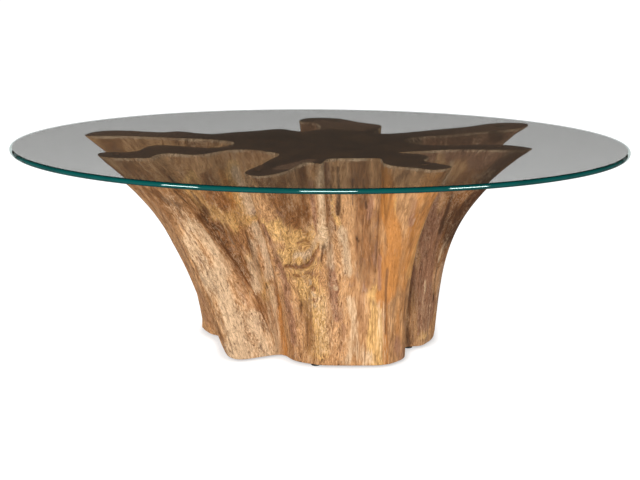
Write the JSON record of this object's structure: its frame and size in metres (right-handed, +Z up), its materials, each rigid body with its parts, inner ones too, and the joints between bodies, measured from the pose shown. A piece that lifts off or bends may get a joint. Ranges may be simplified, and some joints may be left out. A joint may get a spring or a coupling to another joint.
{
  "type": "coffee table",
  "caption": "Low oval glass table on a sawn natural root base that flares from its foot into arms; the loose glass lifts off its bumpers and screw glides level the base",
  "frame": {"origin": "on the floor under the centre of the oval glass", "axes": "+X along the glass's long axis, +Z up, the side seen in the picture faces -Y"},
  "size_m": [1.3719, 0.8639, 0.457],
  "materials": {
    "wood": "hand rubbed, low sheen",
    "glass": "clear, polished edge",
    "clear_rubber": "clear, soft",
    "black_nylon": "moulded black",
    "steel": "zinc plated",
    "zinc": "die cast"
  },
  "bodies": {
    "base": {"root_base": "wood", "bumper_left_rear": "clear_rubber", "bumper_left": "clear_rubber", "bumper_front_left": "clear_rubber", "bumper_front_right": "clear_rubber", "bumper_right": "clear_rubber", "bumper_right_rear": "clear_rubber", "bumper_rear": "clear_rubber", "glide_insert_front": "zinc", "glide_insert_right": "zinc", "glide_insert_rear_right": "zinc", "glide_insert_rear_left": "zinc", "glide_insert_left": "zinc"},
    "glass": {"glass_top": "glass"},
    "pad_front": {"glide_pad_front": "black_nylon"},
    "stud_front": {"glide_stud_front": "steel"},
    "pad_right": {"glide_pad_right": "black_nylon"},
    "stud_right": {"glide_stud_right": "steel"},
    "pad_rear_right": {"glide_pad_rear_right": "black_nylon"},
    "stud_rear_right": {"glide_stud_rear_right": "steel"},
    "pad_rear_left": {"glide_pad_rear_left": "black_nylon"},
    "stud_rear_left": {"glide_stud_rear_left": "steel"},
    "pad_left": {"glide_pad_left": "black_nylon"},
    "stud_left": {"glide_stud_left": "steel"}
  },
  "joints": [
    {"name": "glass_lift", "type": "slide", "parent": "base", "child": "glass", "axis": [0, 0, 1], "range_m": [0, 0.15]},
    {"name": "glide_travel_front", "type": "slide", "parent": "base", "child": "pad_front", "axis": [0, 0, -1], "range_m": [0, 0.008]},
    {"name": "stud_turn_front", "type": "hinge", "parent": "pad_front", "child": "stud_front", "pos_m": [0.005, -0.177, 0.01], "axis": [0, 0, -1], "range_deg": [0, 2305]},
    {"name": "glide_travel_right", "type": "slide", "parent": "base", "child": "pad_right", "axis": [0, 0, -1], "range_m": [0, 0.008]},
    {"name": "stud_turn_right", "type": "hinge", "parent": "pad_right", "child": "stud_right", "pos_m": [0.2075, -0.054, 0.01], "axis": [0, 0, -1], "range_deg": [0, 2305]},
    {"name": "glide_travel_rear_right", "type": "slide", "parent": "base", "child": "pad_rear_right", "axis": [0, 0, -1], "range_m": [0, 0.008]},
    {"name": "stud_turn_rear_right", "type": "hinge", "parent": "pad_rear_right", "child": "stud_rear_right", "pos_m": [0.12, 0.144, 0.01], "axis": [0, 0, -1], "range_deg": [0, 2305]},
    {"name": "glide_travel_rear_left", "type": "slide", "parent": "base", "child": "pad_rear_left", "axis": [0, 0, -1], "range_m": [0, 0.008]},
    {"name": "stud_turn_rear_left", "type": "hinge", "parent": "pad_rear_left", "child": "stud_rear_left", "pos_m": [-0.14, 0.156, 0.01], "axis": [0, 0, -1], "range_deg": [0, 2305]},
    {"name": "glide_travel_left", "type": "slide", "parent": "base", "child": "pad_left", "axis": [0, 0, -1], "range_m": [0, 0.008]},
    {"name": "stud_turn_left", "type": "hinge", "parent": "pad_left", "child": "stud_left", "pos_m": [-0.2175, 0.004, 0.01], "axis": [0, 0, -1], "range_deg": [0, 2305]}
  ],
  "couplings": [
    {"joint": "stud_turn_front", "follows": "glide_travel_front", "rad_per_m": 5026.5},
    {"joint": "stud_turn_right", "follows": "glide_travel_right", "rad_per_m": 5026.5},
    {"joint": "stud_turn_rear_right", "follows": "glide_travel_rear_right", "rad_per_m": 5026.5},
    {"joint": "stud_turn_rear_left", "follows": "glide_travel_rear_left", "rad_per_m": 5026.5},
    {"joint": "stud_turn_left", "follows": "glide_travel_left", "rad_per_m": 5026.5}
  ]
}
